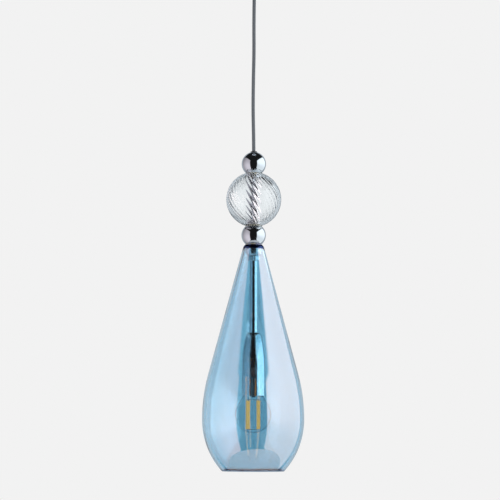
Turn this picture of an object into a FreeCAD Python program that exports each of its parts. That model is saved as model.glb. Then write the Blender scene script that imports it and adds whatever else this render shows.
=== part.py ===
import FreeCAD, Part
import math
import os
import re

import Sketcher

# A glass pendant lamp: a ceiling rose, a textile cord, two chrome balls with a ribbed glass
# ball between them, and an open glass drop around an E14 lampholder and a filament bulb.
#
# Millimetres, +Z up. The origin is the centre of the bracket face that lies on the ceiling.
# Pieces of the rose are drawn at their height from the ceiling, so below it they are negative.
# Pieces of the lamp are drawn at their height above the shade's rim and lowered by rim_drop.

DIMENSIONS = {
    # hanging heights, from the ceiling down
    "rim_drop": 643,
    "pivot_drop": 40.3,
    # clearance of a screwed or pushed fit, and of a screw's free hole, on the radius
    "fit_gap": 0.05,
    "free_gap": 0.15,
    # ceiling bracket
    "strap_reach": 47,
    "strap_width": 16,
    "strap_thick": 2,
    "ear_drop": 16,
    "slot_spacing": 60,
    "slot_width": 5,
    "slot_length": 10,
    # ceiling rose
    "rose_radius": 50,
    "rose_height": 28,
    "rose_gap": 0.5,
    "rose_wall": 1.2,
    "rose_corner": 7,
    "rose_screw_drop": 10,
    "rose_screw_radius": 2,
    "rose_screw_length": 9,
    "rose_head_radius": 3.6,
    "rose_head_height": 1.8,
    # cord grip through the rose
    "grip_radius": 7.5,
    "grip_length": 11.5,
    "grip_taper": 2,
    "grip_neck_radius": 5,
    "grip_neck_length": 8.5,
    "grip_bore": 2.3,
    "washer_radius": 8,
    "washer_thick": 0.8,
    "grip_nut_flats": 14,
    "grip_nut_thick": 3,
    "grub_radius": 1.5,
    "grub_length": 4.6,
    "grub_drop": 34.5,
    "clamp_grub_length": 4,
    # mains terminal block under the strap
    "block_near": 7,
    "block_length": 15,
    "block_width": 18,
    "block_height": 10,
    "pole_offset": 4.5,
    "pole_bore": 1.4,
    "pole_screw_radius": 1.3,
    "pole_screw_length": 3,
    "pole_screw_inset": 3,
    "block_screw_radius": 1.5,
    # cord and its two cores
    "cord_radius": 2.2,
    "cord_top": 17,
    "cord_upper_foot": 37.5,
    "core_radius": 0.9,
    # chrome balls
    "bead_radius": 15.25,
    "bead_wall": 1.2,
    "upper_bead": 383.6,
    "lower_bead": 293.9,
    "bush_bore": 2.6,
    "bush_radius": 3.4,
    "bush_flange_radius": 4.2,
    "bush_flange_thick": 0.9,
    "bush_foot": 395,
    "bush_sink": 0.35,
    # ribbed glass ball
    "orb_level": 338.9,
    "orb_radius": 34.5,
    "orb_wall": 3,
    "orb_top_hole": 10,
    "orb_foot_hole": 9.7,
    "seal_depth": 2.8,
    "seal_bore": 7,
    # threaded rod, spacer sleeve and cord clamp inside the balls
    "rod_radius": 4.95,
    "rod_bore": 3.6,
    "rod_foot": 264.2,
    "rod_top": 376.8,
    "sleeve_radius": 6,
    "sleeve_bore": 5.2,
    "sleeve_entry": 0.8,
    "clamp_radius": 6.5,
    "clamp_foot": 371.5,
    "clamp_seat": 377,
    "clamp_top": 387,
    "clamp_screw_level": 383,
    # glass shade
    "shade_radius": 63.4,
    "belly_level": 64.1,
    "lower_arc": 94.8,
    "upper_arc": 217.5,
    "shade_lean": 15.2,
    "shade_wall": 3,
    "neck_level": 282.3,
    "neck_hole": 9.9,
    "lip_round": 8,
    "lip_end": 54,
    "gasket_outer": 10.3,
    "gasket_foot": 280,
    "gasket_top": 283.6,
    # clamping cup and coupling nut under the neck
    "cup_radius": 10,
    "cup_foot_radius": 6.8,
    "cup_foot": 267,
    "cup_side": 272.5,
    "cup_top": 276,
    "cup_round": 8,
    "cup_gasket_bore": 7,
    "cup_gasket_radius": 10.1,
    "cup_gasket_thick": 1.6,
    "coupling_radius": 7.5,
    "coupling_foot": 261,
    # drop tube and the bullet cover
    "tube_radius": 5,
    "tube_bore": 4,
    "tube_foot": 149,
    "tube_top": 263.8,
    "cover_foot": 93.1,
    "cover_bend": 125,
    "cover_shoulder": 167,
    "cover_top": 171.4,
    "cover_radius": 14.6,
    "cover_arc": 187,
    "cover_top_radius": 6.3,
    "cover_corner": 4.6,
    "cover_wall": 1,
    "cover_top_inset": 0.2,
    "locknut_radius": 6,
    "locknut_foot": 167.2,
    # lampholder
    "dome_foot": 130,
    "dome_side": 140,
    "dome_neck": 148,
    "dome_top": 156,
    "dome_radius": 12.2,
    "dome_top_radius": 7.6,
    "dome_cavity": 9.8,
    "dome_cavity_top": 147.5,
    "socket_radius": 12.8,
    "socket_foot": 96,
    "socket_roof": 127,
    "socket_bore": 7.7,
    "socket_mouth": 11.4,
    "shell_radius": 7.65,
    "shell_bore": 7.2,
    "shell_foot": 104,
    "shell_top": 124,
    "contact_level": 125.9,
    "contact_radius": 3,
    "contact_thick": 0.5,
    "contact_pin": 1,
    "contact_pin_top": 131.5,
    "post_offset": 4.5,
    "post_side": 4,
    "post_height": 7,
    "post_foot": 131,
    "post_screw_radius": 1.1,
    "post_screw_length": 1.8,
    # bulb
    "globe_radius": 22.5,
    "globe_level": 70.1,
    "globe_wall": 0.8,
    "globe_flank": 31.5,
    "globe_inner_foot": 102.2,
    "neck_radius": 6.3,
    "neck_foot": 102.6,
    "neck_top": 108,
    "cap_radius": 6.85,
    "cap_wall": 0.45,
    "cap_foot": 103,
    "cap_shoulder": 121,
    "cap_top": 122.5,
    "cap_top_radius": 5.6,
    "vitrite_top": 124.3,
    "vitrite_radius": 3.4,
    "tip_radius": 2.4,
    "tip_top": 125.6,
    "stem_foot": 54,
    "stem_radius": 1.2,
    "stem_waist": 90,
    "stem_flare": 95,
    "stem_flare_radius": 3,
    "stem_top": 102,
    "stem_top_radius": 4.6,
    "filament_radius": 1.2,
    "filament_foot": 52.4,
    "filament_length": 35,
    "filament_circle": 9.4,
    "filament_turn": 35,
    "wire_radius": 0.25,
    "wire_drop": 1.1,
    "board_width": 8,
    "board_thick": 1.2,
    "board_foot": 109.5,
    "board_height": 10,
}

LAMP = "-rim_drop"  # lowers a piece drawn above the shade's rim
CEILING = "0"

doc = FreeCAD.newDocument("PendantLamp")
sheet = doc.addObject("Spreadsheet::Sheet", "dims")
for row, (name, value) in enumerate(DIMENSIONS.items(), start=1):
    sheet.set(f"A{row}", name)
    sheet.set(f"B{row}", str(value))
    sheet.setAlias(f"B{row}", name)
doc.recompute()

pieces = []


# ---------------------------------------------------------------- sizes and bindings


def linked(formula):
    """The formula with each dimension's name turned into its cell."""
    return re.sub(
        r"[a-z_]+",
        lambda word: "dims." + word.group() if word.group() in DIMENSIONS else word.group(),
        formula,
    )


def size(formula):
    """What a formula of dimension names comes to, in millimetres or degrees."""
    return float(sheet.evalExpression(formula))


def bind(item, **formulas):
    """Bind an object's properties to formulas of dimension names."""
    for name, formula in formulas.items():
        item.setExpression(name, linked(formula))
    return item


def place(item, x="0", y="0", z="0", axis=None, angle=0):
    """Turn an object about an axis and bind where it stands."""
    if axis is not None:
        item.Placement = FreeCAD.Placement(FreeCAD.Vector(), FreeCAD.Rotation(axis, angle))
    for name, formula in (("x", x), ("y", y), ("z", z)):
        item.setExpression("Placement.Base." + name, linked(formula))
    return item


def piece(item, label):
    """Name an object as a separate piece of the lamp."""
    item.Label = label
    pieces.append(item)
    return item


# ---------------------------------------------------------------- sketched bodies


def origin_plane(body, role):
    return next(item for item in body.Origin.OriginFeatures if item.Role == role)


def arc_between(start, end, radius, side):
    """The short arc from start to end, its centre left (1) or right (-1) of the way there."""
    chord = end - start
    across = FreeCAD.Vector(-chord.y, chord.x, 0).normalize() * side
    height = math.sqrt(max(radius**2 - (chord.Length / 2) ** 2, 0))
    centre = (start + end) / 2 + across * height
    return Part.Arc(start, centre - across * radius, end)


def pin_point(sketch, edge, end, axis, kind, formula, name):
    """Hold one coordinate of a sketch point at its formula, or on the axis where it is zero."""
    value = size(formula)
    if abs(value) < 1e-9:
        sketch.addConstraint(Sketcher.Constraint("PointOnObject", edge, end, axis))
        return
    index = sketch.addConstraint(Sketcher.Constraint(kind, -1, 1, edge, end, value))
    sketch.renameConstraint(index, name)
    sketch.setExpression("Constraints." + name, linked(formula))


def outline(body, plane, corners):
    """A closed sketch through corners (across, up).

    A corner with two more values, a radius and a side, is reached along an arc from the
    corner before it, which for the first corner is the last one.
    """
    sketch = body.newObject("Sketcher::SketchObject", "Outline")
    sketch.AttachmentSupport = (origin_plane(body, plane), [""])
    sketch.MapMode = "FlatFace"
    points = [FreeCAD.Vector(size(corner[0]), size(corner[1]), 0) for corner in corners]
    ends = []
    for number, corner in enumerate(corners):
        start, end = points[number - 1], points[number]
        if len(corner) == 2:
            edge = sketch.addGeometry(Part.LineSegment(start, end))
        else:
            edge = sketch.addGeometry(arc_between(start, end, size(corner[2]), corner[3]))
        forward = sketch.getPoint(edge, 1).isEqual(start, 1e-6)
        ends.append((edge, 1, 2) if forward else (edge, 2, 1))
    for number, corner in enumerate(corners):
        edge, _, last = ends[number]
        after, first, _ = ends[(number + 1) % len(corners)]
        sketch.addConstraint(Sketcher.Constraint("Coincident", edge, last, after, first))
        pin_point(sketch, edge, last, -2, "DistanceX", corner[0], f"across_{number}")
        pin_point(sketch, edge, last, -1, "DistanceY", corner[1], f"up_{number}")
        if len(corner) > 2:
            index = sketch.addConstraint(Sketcher.Constraint("Radius", edge, size(corner[2])))
            sketch.renameConstraint(index, f"round_{number}")
            sketch.setExpression(f"Constraints.round_{number}", linked(corner[2]))
    return sketch


def circle_sketch(body, plane, across, up, radius):
    """A sketch of one circle, its centre and radius bound to formulas."""
    sketch = body.newObject("Sketcher::SketchObject", "Round")
    sketch.AttachmentSupport = (origin_plane(body, plane), [""])
    sketch.MapMode = "FlatFace"
    centre = FreeCAD.Vector(size(across), size(up), 0)
    edge = sketch.addGeometry(Part.Circle(centre, FreeCAD.Vector(0, 0, 1), size(radius)))
    pin_point(sketch, edge, 3, -2, "DistanceX", across, "across")
    pin_point(sketch, edge, 3, -1, "DistanceY", up, "up")
    index = sketch.addConstraint(Sketcher.Constraint("Radius", edge, size(radius)))
    sketch.renameConstraint(index, "round")
    sketch.setExpression("Constraints.round", linked(radius))
    return sketch


def turned(label, corners, hangs=LAMP):
    """A piece turned about the lamp's axis from an outline of (radius, height) corners."""
    body = piece(doc.addObject("PartDesign::Body", "Body"), label)
    spin = body.newObject("PartDesign::Revolution", "Revolution")
    spin.Profile = outline(body, "XZ_Plane", corners)
    spin.ReferenceAxis = (spin.Profile[0], ["V_Axis"])
    spin.Angle = 360
    return place(body, z=hangs)


def ring(label, bore, radius, foot, top, hangs=LAMP):
    """A turned ring or tube with square edges."""
    return turned(label, [(bore, foot), (radius, foot), (radius, top), (bore, top)], hangs)


def cut_through(body, sketch):
    """Pocket a sketch right through its body, both ways."""
    pocket = body.newObject("PartDesign::Pocket", "Pocket")
    pocket.Profile = sketch
    pocket.Type = "ThroughAll"
    pocket.Midplane = True
    doc.recompute()
    return pocket


def mirrored(body, feature, plane):
    """Repeat a feature on the other side of one of the body's planes."""
    mirror = body.newObject("PartDesign::Mirrored", "Mirrored")
    mirror.Originals = [feature]
    mirror.MirrorPlane = (origin_plane(body, plane), [""])
    body.Tip = mirror
    doc.recompute()
    return mirror


# ---------------------------------------------------------------- plain solids


def solid(kind, **formulas):
    return bind(doc.addObject("Part::" + kind, kind), **formulas)


def combined(kind, base, tool):
    item = doc.addObject("Part::" + kind, kind)
    item.Base, item.Tool = base, tool
    return item


def group(label, items):
    """Separate solids that make one piece of the list, such as a set of screws."""
    item = piece(doc.addObject("Part::Compound", "Compound"), label)
    item.Links = items
    return item


def sphere_at(level):
    """The outer sphere of a chrome ball, to cut its seats with."""
    return place(solid("Sphere", Radius="bead_radius"), z=f"{level} - rim_drop")


Y_AXIS = FreeCAD.Vector(0, 1, 0)
Z_AXIS = FreeCAD.Vector(0, 0, 1)


# ---------------------------------------------------------------- cords and cores


def rounded_path(points):
    """Straight runs joined by tangent arcs, each as large as its two runs allow."""
    edges, radii, start = [], [], points[0]
    for before, corner, after in zip(points, points[1:], points[2:]):
        back, onward = before - corner, after - corner
        reach = 0.45 * min(back.Length, onward.Length)
        half_turn = (math.pi - back.getAngle(onward)) / 2
        radius = reach / math.tan(half_turn)
        back.normalize()
        onward.normalize()
        inward = (back + onward).normalize()
        first, last = corner + back * reach, corner + onward * reach
        middle = corner + inward * radius * (1 / math.cos(half_turn) - 1)
        edges += [
            Part.LineSegment(start, first).toShape(),
            Part.Arc(first, middle, last).toShape(),
        ]
        radii.append(round(radius, 1))
        start = last
    edges.append(Part.LineSegment(start, points[-1]).toShape())
    return Part.Wire(edges), radii


def strand(label, route, radius):
    """A round strand along a route, its volume compared with section times length."""
    points = [FreeCAD.Vector(*point) for point in route]
    path, radii = rounded_path(points)
    section = Part.Circle(points[0], points[1] - points[0], size(radius)).toShape()
    item = piece(doc.addObject("Part::Feature", "Strand"), label)
    item.Shape = path.makePipeShell([Part.Wire([section])], True, False)
    item.Placement = FreeCAD.Placement()
    expected = math.pi * size(radius) ** 2 * path.Length
    if abs(item.Shape.Volume / expected - 1) > 0.01:
        raise ValueError(f"{label} has the wrong volume for its length")
    print(f"{label}: {path.Length:.1f} mm long, radii {radii}")
    return item


# ---------------------------------------------------------------- ceiling rose


def bracket():
    """A steel strap screwed to the ceiling, its ends bent down to hold the rose."""
    body = piece(doc.addObject("PartDesign::Body", "Body"), "ceiling_bracket")
    pad = body.newObject("PartDesign::Pad", "Pad")
    inside = "strap_reach - strap_thick"
    pad.Profile = outline(
        body,
        "XZ_Plane",
        [
            ("-strap_reach", "0"),
            ("-strap_reach", "-ear_drop"),
            (f"-({inside})", "-ear_drop"),
            (f"-({inside})", "-strap_thick"),
            (inside, "-strap_thick"),
            (inside, "-ear_drop"),
            ("strap_reach", "-ear_drop"),
            ("strap_reach", "0"),
        ],
    )
    bind(pad, Length="strap_width")
    pad.Midplane = True
    doc.recompute()
    half, near = "slot_width / 2", "slot_spacing / 2 - (slot_length - slot_width) / 2"
    far = "slot_spacing / 2 + (slot_length - slot_width) / 2"
    slot = outline(
        body,
        "XY_Plane",
        [
            (near, f"-{half}", half, 1),
            (far, f"-{half}"),
            (f"{far} + {half}", "0", half, 1),
            (far, half, half, 1),
            (near, half),
            (f"{near} - {half}", "0", half, 1),
        ],
    )
    mirrored(body, cut_through(body, slot), "YZ_Plane")
    cut_through(body, circle_sketch(body, "YZ_Plane", "0", "-rose_screw_drop",
                                    "rose_screw_radius + fit_gap"))
    block_middle = "block_near + block_length / 2"
    cut_through(body, circle_sketch(body, "XY_Plane", block_middle, "0",
                                    "block_screw_radius + fit_gap"))


def rose():
    """The spun chrome cup that hides the bracket, with a hole each side for its screws."""
    top, foot = "-rose_gap", "-rose_gap - rose_height"
    inner, floor = "rose_radius - rose_wall", f"{foot} + rose_wall"
    round_inner = "rose_corner - rose_wall"
    body = turned(
        "ceiling_rose",
        [
            ("grip_neck_radius + free_gap", foot),
            ("rose_radius - rose_corner", foot),
            ("rose_radius", f"{foot} + rose_corner", "rose_corner", 1),
            ("rose_radius", top),
            (inner, top),
            (inner, f"{foot} + rose_corner"),
            ("rose_radius - rose_corner", floor, round_inner, -1),
            ("grip_neck_radius + free_gap", floor),
        ],
        hangs=CEILING,
    )
    doc.recompute()
    cut_through(body, circle_sketch(body, "YZ_Plane", "0", "-rose_screw_drop",
                                    "rose_screw_radius + free_gap"))


def rose_screws():
    """Two knurled screws through the rose's wall into the bracket's ears."""
    screws = []
    for side, angle in ((1, -90), (-1, 90)):
        shank = solid("Cylinder", Radius="rose_screw_radius", Height="rose_screw_length")
        head = solid("Cylinder", Radius="rose_head_radius", Height="rose_head_height")
        place(head, z="-rose_head_height")
        screw = combined("Fuse", shank, head)
        place(screw, x=f"{side} * (rose_radius + fit_gap)", z="-rose_screw_drop",
              axis=Y_AXIS, angle=angle)
        screws.append(screw)
    group("rose_screws", screws)


def side_screw(body, label, level, reach, length, hangs=LAMP):
    """A grub screw that presses on the cord, and its hole through one side of a collar."""
    doc.recompute()
    pocket = body.newObject("PartDesign::Pocket", "Pocket")
    pocket.Profile = circle_sketch(body, "YZ_Plane", "0", level, "grub_radius + fit_gap")
    pocket.Type = "Length"
    pocket.Reversed = True
    bind(pocket, Length=f"{reach} + 1")
    doc.recompute()
    grub = solid("Cylinder", Radius="grub_radius", Height=length)
    place(grub, x="grip_bore + fit_gap", z=f"{level} + {hangs}", axis=Y_AXIS, angle=90)
    piece(grub, label)


def cord_grip():
    """A turned collar whose threaded neck passes the rose, held by a washer and a nut."""
    under = "-rose_gap - rose_height"
    foot = f"{under} - grip_length"
    body = turned(
        "cord_grip",
        [
            ("grip_bore", foot),
            ("grip_radius - grip_taper", foot),
            ("grip_radius", f"{foot} + grip_taper", "grip_taper", 1),
            ("grip_radius", under),
            ("grip_neck_radius", under),
            ("grip_neck_radius", f"{under} + grip_neck_length"),
            ("grip_bore", f"{under} + grip_neck_length"),
        ],
        hangs=CEILING,
    )
    side_screw(body, "grip_screw", "-grub_drop", "grip_radius", "grub_length", CEILING)
    floor = f"{under} + rose_wall"
    ring("grip_washer", "grip_neck_radius + fit_gap", "washer_radius", floor,
         f"{floor} + washer_thick", CEILING)
    nut = solid("Prism", Circumradius="grip_nut_flats / sqrt(3)", Height="grip_nut_thick")
    nut.Polygon = 6
    bore = solid("Cylinder", Radius="grip_neck_radius + fit_gap", Height="grip_nut_thick")
    hexagon = combined("Cut", nut, bore)
    place(hexagon, z=f"{floor} + washer_thick")
    piece(hexagon, "grip_nut")


def terminal_block():
    """The plastic block that joins the mains to the cord, two poles, under the strap."""
    block = solid("Box", Length="block_length", Width="block_width", Height="block_height")
    block_foot = "-strap_thick - block_height"
    place(block, x="block_near", y="-block_width / 2", z=block_foot)
    middle = f"{block_foot} + block_height / 2"
    screws = []
    for side in (1, -1):
        bore = solid("Cylinder", Radius="pole_bore", Height="block_length")
        place(bore, x="block_near", y=f"{side} * pole_offset", z=middle, axis=Y_AXIS, angle=90)
        block = combined("Cut", block, bore)
        for inset in ("pole_screw_inset", "block_length - pole_screw_inset"):
            where = {"x": f"block_near + {inset}", "y": f"{side} * pole_offset", "z": block_foot}
            well = solid("Cylinder", Radius="pole_screw_radius + fit_gap",
                         Height="block_height / 2")
            block = combined("Cut", block, place(well, **where))
            screw = solid("Cylinder", Radius="pole_screw_radius", Height="pole_screw_length")
            screws.append(place(screw, **where))
    centre = {"x": "block_near + block_length / 2", "z": block_foot}
    hole = solid("Cylinder", Radius="block_screw_radius + fit_gap", Height="block_height")
    piece(combined("Cut", block, place(hole, **centre)), "terminal_block")
    group("terminal_screws", screws)
    fixing = solid("Cylinder", Radius="block_screw_radius",
                   Height="block_height + strap_thick - rose_gap")
    piece(place(fixing, **centre), "block_screw")


# ---------------------------------------------------------------- cord

# The cord hangs from the grip to the clamp in the upper ball, with the slight wave of a
# cord that came off a drum. Its sheath stops above the grip, where the two cores part.
CORD_ROUTE = [
    (0, 0, -43.1),
    (-0.5, 0.3, -80),
    (-0.1, -0.3, -117),
    (-0.9, 0.1, -153),
    (-1.2, -0.2, -193),
    (-0.2, 0.1, -229),
    (0, 0, -265),
]
CORE_ROUTE_IN_ROSE = [(0, 1, -17), (0, 1, -12.5), (3.2, 4.5, -7), (10.5, 4.5, -7)]
CORE_ROUTE_IN_LAMP = [(1, 0, -265.3), (1, 0, -492), (4.5, 0, -500), (4.5, 0, -505)]


def cords():
    strand("cord", CORD_ROUTE, "cord_radius")
    bend = solid("Sphere", Radius="cord_radius")
    piece(place(bend, z="-pivot_drop"), "cord_bend")
    upper = solid("Cylinder", Radius="cord_radius", Height="cord_upper_foot - cord_top")
    piece(place(upper, z="-cord_upper_foot"), "cord_upper")
    for name, side in (("live", 1), ("neutral", -1)):
        strand(f"rose_{name}_core", [(x, side * y, z) for x, y, z in CORE_ROUTE_IN_ROSE],
               "core_radius")
        strand(f"lamp_{name}_core", [(side * x, y, z) for x, y, z in CORE_ROUTE_IN_LAMP],
               "core_radius")


# ---------------------------------------------------------------- balls and what joins them


def chrome_ball(label, level, top_hole):
    """A hollow chrome ball, bored for the rod below and to top_hole above."""
    rod_hole = "rod_radius + 2 * fit_gap"

    def height(radius, hole):
        return f"sqrt(({radius})^2 - ({hole})^2)"

    outer, inner = "bead_radius", "bead_radius - bead_wall"
    turned(
        label,
        [
            (rod_hole, f"{level} - {height(inner, rod_hole)}", inner, -1),
            (rod_hole, f"{level} - {height(outer, rod_hole)}"),
            (top_hole, f"{level} + {height(outer, top_hole)}", outer, 1),
            (top_hole, f"{level} + {height(inner, top_hole)}"),
        ],
    )


def ball_stack():
    chrome_ball("upper_ball", "upper_bead", "bush_radius + fit_gap")
    chrome_ball("lower_ball", "lower_bead", "rod_radius + 2 * fit_gap")
    bush_top = "upper_bead + bead_radius - bush_sink"
    turned(
        "cord_bush",
        [
            ("bush_bore", "bush_foot"),
            ("bush_radius", "bush_foot"),
            ("bush_radius", bush_top),
            ("bush_flange_radius", bush_top),
            ("bush_flange_radius", f"{bush_top} + bush_flange_thick / 2"),
            ("bush_flange_radius - bush_flange_thick / 2", f"{bush_top} + bush_flange_thick",
             "bush_flange_thick / 2", 1),
            ("bush_bore", f"{bush_top} + bush_flange_thick"),
        ],
    )
    ring("threaded_rod", "rod_bore", "rod_radius", "rod_foot", "rod_top")
    ring("spacer_sleeve", "sleeve_bore", "sleeve_radius",
         "lower_bead + bead_radius - sleeve_entry", "upper_bead - bead_radius + sleeve_entry")


def cord_clamp():
    """The strain relief screwed on the rod's top end inside the upper ball."""
    body = turned(
        "cord_clamp",
        [
            ("rod_radius + fit_gap", "clamp_foot"),
            ("clamp_radius", "clamp_foot"),
            ("clamp_radius", "clamp_top"),
            ("grip_bore", "clamp_top"),
            ("grip_bore", "clamp_seat"),
            ("rod_radius + fit_gap", "clamp_seat"),
        ],
    )
    side_screw(body, "clamp_screw", "clamp_screw_level", "clamp_radius", "clamp_grub_length")


def glass_orb():
    """The clear glass ball, open at both poles, and the seals the chrome balls sit on."""
    inner = "orb_radius - orb_wall"

    def pole(radius, hole, side):
        return (hole, f"orb_level {side} sqrt(({radius})^2 - {hole}^2)")

    turned(
        "glass_ball",
        [
            pole("orb_radius", "orb_foot_hole", "-"),
            (*pole("orb_radius", "orb_top_hole", "+"), "orb_radius", 1),
            pole(inner, "orb_top_hole", "+"),
            (*pole(inner, "orb_foot_hole", "-"), inner, -1),
        ],
    )
    for label, hole, level, side in (
        ("upper_glass_seal", "orb_top_hole", "upper_bead", "+"),
        ("lower_glass_seal", "orb_foot_hole", "lower_bead", "-"),
    ):
        edge = pole("orb_radius", hole, side)[1]
        foot = f"{edge} - seal_depth" if side == "+" else edge
        disc = solid("Cylinder", Radius=f"{hole} - fit_gap", Height="seal_depth")
        place(disc, z=f"{foot} - rim_drop")
        bore = solid("Cylinder", Radius="seal_bore", Height="seal_depth")
        place(bore, z=f"{foot} - rim_drop")
        washer = combined("Cut", disc, bore)
        piece(combined("Cut", washer, sphere_at(level)), label)


# ---------------------------------------------------------------- shade and its neck


def shade():
    """The open drop: two arcs meet at the belly, a cone runs up to a rounded shoulder."""
    def rim_radius(arc):
        return f"shade_radius - lower_arc + sqrt(({arc})^2 - belly_level^2)"

    def cone_foot(arc):
        return (f"shade_radius - upper_arc + ({arc}) * cos(shade_lean)",
                f"belly_level + ({arc}) * sin(shade_lean)")

    lower_inner, upper_inner = "lower_arc - shade_wall", "upper_arc - shade_wall"
    outer_foot, inner_foot = cone_foot("upper_arc"), cone_foot(upper_inner)
    lip_foot = "(neck_level - lip_round * (sin(lip_end) - sin(shade_lean)))"
    lip_radius = f"({outer_foot[0]} - ({lip_foot} - ({outer_foot[1]})) * tan(shade_lean))"
    inner_top = f"{inner_foot[1]} + ({inner_foot[0]} - neck_hole) / tan(shade_lean)"
    turned(
        "glass_shade",
        [
            (rim_radius(lower_inner), "0", lower_inner, -1),
            (rim_radius("lower_arc"), "0"),
            ("shade_radius", "belly_level", "lower_arc", 1),
            (*outer_foot, "upper_arc", 1),
            (lip_radius, lip_foot),
            (f"{lip_radius} - lip_round * (cos(shade_lean) - cos(lip_end))", "neck_level",
             "lip_round", 1),
            ("neck_hole", "neck_level"),
            ("neck_hole", inner_top),
            inner_foot,
            ("shade_radius - shade_wall", "belly_level", upper_inner, -1),
        ],
    )


def shade_gasket():
    """The translucent seal between the lower ball and the shade's lip."""
    collar = solid("Cylinder", Radius="gasket_outer", Height="gasket_top - neck_level")
    place(collar, z="neck_level - rim_drop")
    plug = solid("Cylinder", Radius="neck_hole - fit_gap", Height="neck_level - gasket_foot")
    place(plug, z="gasket_foot - rim_drop")
    blank = combined("Fuse", collar, plug)
    piece(combined("Cut", blank, sphere_at("lower_bead")), "shade_gasket")


def neck_clamp():
    """The bell-shaped cup and coupling nut that pull the shade up against the ball."""
    bore = "rod_radius + 2 * fit_gap"
    turned(
        "neck_cup",
        [
            (bore, "cup_foot"),
            ("cup_foot_radius", "cup_foot"),
            ("cup_radius", "cup_side", "cup_round", 1),
            ("cup_radius", "cup_top"),
            (bore, "cup_top"),
        ],
    )
    ring("cup_gasket", "cup_gasket_bore", "cup_gasket_radius", "cup_top",
         "cup_top + cup_gasket_thick")
    ring("coupling_nut", "tube_radius + fit_gap", "coupling_radius", "coupling_foot", "cup_foot")
    ring("drop_tube", "tube_bore", "tube_radius", "tube_foot", "tube_top")


# ---------------------------------------------------------------- lampholder


def holder_cover():
    """The chrome bullet over the lampholder and the locknut under its top."""
    rise = "(cover_shoulder - cover_bend)"

    def shoulder(arc):
        return f"cover_radius - cover_arc + sqrt(({arc})^2 - {rise}^2)"

    inner_arc, inner = "cover_arc - cover_wall", "cover_radius - cover_wall"
    bore = "tube_radius + fit_gap"
    turned(
        "holder_cover",
        [
            (inner, "cover_foot"),
            ("cover_radius", "cover_foot"),
            ("cover_radius", "cover_bend"),
            (shoulder("cover_arc"), "cover_shoulder", "cover_arc", 1),
            ("cover_top_radius", "cover_top", "cover_corner", 1),
            (bore, "cover_top"),
            (bore, "cover_top - cover_wall"),
            ("cover_top_radius - cover_top_inset", "cover_top - cover_wall"),
            (shoulder(inner_arc), "cover_shoulder", "cover_corner - cover_wall", -1),
            (inner, "cover_bend", inner_arc, -1),
        ],
    )
    ring("cover_locknut", bore, "locknut_radius", "locknut_foot", "cover_top - cover_wall")


def lampholder():
    """An E14 lampholder: a dome screwed on the tube, a socket below, brass inside."""
    tube_bore = "tube_radius + fit_gap"
    turned(
        "holder_dome",
        [
            ("dome_cavity", "dome_foot"),
            ("dome_radius", "dome_foot"),
            ("dome_radius", "dome_side"),
            ("dome_top_radius", "dome_neck"),
            ("dome_top_radius", "dome_top"),
            (tube_bore, "dome_top"),
            (tube_bore, "dome_neck"),
            ("tube_bore", "dome_neck"),
            ("tube_bore", "dome_cavity_top"),
            ("dome_cavity", "dome_side"),
        ],
    )
    pin_hole = "contact_pin + fit_gap"
    turned(
        "holder_socket",
        [
            ("socket_mouth", "socket_foot"),
            ("socket_radius", "socket_foot"),
            ("socket_radius", "dome_foot"),
            (pin_hole, "dome_foot"),
            (pin_hole, "socket_roof"),
            ("socket_bore", "socket_roof"),
            ("socket_bore", "shell_foot"),
        ],
    )
    ring("thread_shell", "shell_bore", "shell_radius", "shell_foot", "shell_top")
    disc = solid("Cylinder", Radius="contact_radius", Height="contact_thick")
    place(disc, z="contact_level - rim_drop")
    pin = solid("Cylinder", Radius="contact_pin", Height="contact_pin_top - contact_level")
    place(pin, z="contact_level - rim_drop")
    piece(combined("Fuse", disc, pin), "centre_contact")
    posts, screws = [], []
    for side, angle in ((1, 90), (-1, -90)):
        post = solid("Box", Length="post_side", Width="post_side", Height="post_height")
        place(post, x=f"{side} * post_offset - post_side / 2", y="-post_side / 2",
              z="post_foot - rim_drop")
        posts.append(post)
        screw = solid("Cylinder", Radius="post_screw_radius", Height="post_screw_length")
        place(screw, x=f"{side} * (post_offset + post_side / 2)",
              z="post_foot + post_height / 2 - rim_drop", axis=Y_AXIS, angle=angle)
        screws.append(screw)
    group("holder_terminals", posts)
    group("holder_terminal_screws", screws)


# ---------------------------------------------------------------- bulb


def bulb_envelope():
    """The round glass of the bulb and the screw cap it is cemented into."""
    def flank(radius):
        return (f"({radius}) * cos(globe_flank)", f"globe_level + ({radius}) * sin(globe_flank)")

    inner = "globe_radius - globe_wall"
    turned(
        "bulb_glass",
        [
            ("0", "globe_level - globe_radius"),
            (*flank("globe_radius"), "globe_radius", 1),
            ("neck_radius", "neck_foot"),
            ("neck_radius", "neck_top"),
            ("neck_radius - globe_wall", "neck_top"),
            ("neck_radius - globe_wall", "globe_inner_foot"),
            flank(inner),
            ("0", f"globe_level - ({inner})", inner, -1),
        ],
    )
    turned(
        "bulb_cap",
        [
            ("cap_radius", "cap_foot"),
            ("cap_radius", "cap_shoulder"),
            ("cap_top_radius", "cap_top"),
            ("cap_top_radius - cap_wall", "cap_top"),
            ("cap_radius - cap_wall", "cap_shoulder"),
            ("cap_radius - cap_wall", "cap_foot"),
        ],
    )
    turned(
        "bulb_insulator",
        [
            ("0", "cap_top"),
            ("cap_top_radius", "cap_top"),
            ("vitrite_radius", "vitrite_top"),
            ("0", "vitrite_top"),
        ],
    )
    turned(
        "bulb_contact",
        [
            ("0", "vitrite_top"),
            ("tip_radius", "vitrite_top"),
            ("tip_radius / 2", "tip_top"),
            ("0", "tip_top"),
        ],
    )


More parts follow.
